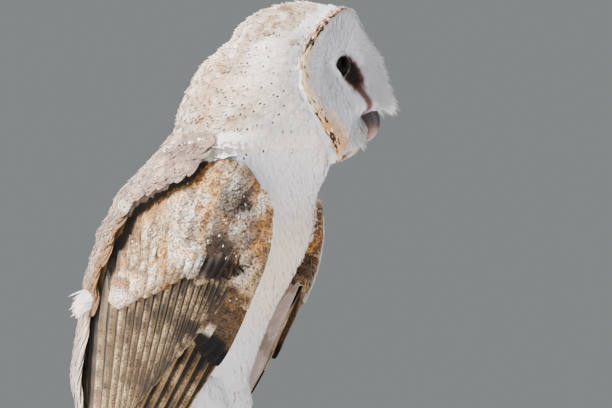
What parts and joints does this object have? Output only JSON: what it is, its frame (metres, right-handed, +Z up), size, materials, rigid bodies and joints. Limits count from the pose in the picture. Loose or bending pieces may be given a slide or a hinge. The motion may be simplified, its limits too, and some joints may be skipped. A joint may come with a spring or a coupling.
{
  "type": "taxidermy barn owl",
  "caption": "Life-size pale barn owl at rest on a short weathered branch, head turned slightly left, held over a round wooden base by slim rods.",
  "frame": {"origin": "centre of the round base's underside", "axes": "+Z up, +X the way the owl's breast faces, +Y towards the owl's left wing"},
  "size_m": [0.2053, 0.192, 0.4029],
  "materials": {
    "face_feathers": "fine white hair-like feathers with a buff and brown ruff",
    "crown_feathers": "short soft feathers, pale grey and buff with small dark tip spots",
    "breast_feathers": "silky white feathers",
    "back_feathers": "lilac-grey finely marbled feathers with dark and white drop marks",
    "wing_coverts": "buff, orange-brown, grey and white marbled covert feathers",
    "flight_feathers": "long grey-brown feathers with buff edges and darker bars",
    "eyes": "black glass, polished",
    "bill": "horn, pinkish ivory with a dark nostril, satin",
    "toes": "scaly skin with sparse white bristles",
    "claws": "dark horn, satin",
    "bark": "weathered bare grey wood",
    "base_wood": "dark stained, satin lacquer",
    "rod_brass": "aged satin brass"
  },
  "bodies": {
    "root": {"facial_disc": "face_feathers", "head": "crown_feathers", "neck": "crown_feathers", "trunk": "breast_feathers", "thigh_right": "breast_feathers", "thigh_left": "breast_feathers", "tarsus_right": "breast_feathers", "tarsus_left": "breast_feathers", "mantle": "back_feathers", "rump": "back_feathers", "wing_right_coverts": "wing_coverts", "wing_left_coverts": "wing_coverts", "wing_right_primaries": "flight_feathers", "wing_right_secondaries": "flight_feathers", "wing_left_primaries": "flight_feathers", "wing_left_secondaries": "flight_feathers", "tail": "flight_feathers", "eye_right": "eyes", "eye_left": "eyes", "bill_upper": "bill", "bill_lower": "bill", "foot_right": "toes", "foot_left": "toes", "claw_right_1": "claws", "claw_right_2": "claws", "claw_right_3": "claws", "claw_right_4": "claws", "claw_left_1": "claws", "claw_left_2": "claws", "claw_left_3": "claws", "claw_left_4": "claws", "perch": "bark", "stand_base": "base_wood", "stand_rod_right": "rod_brass", "stand_rod_left": "rod_brass"}
  },
  "joints": []
}
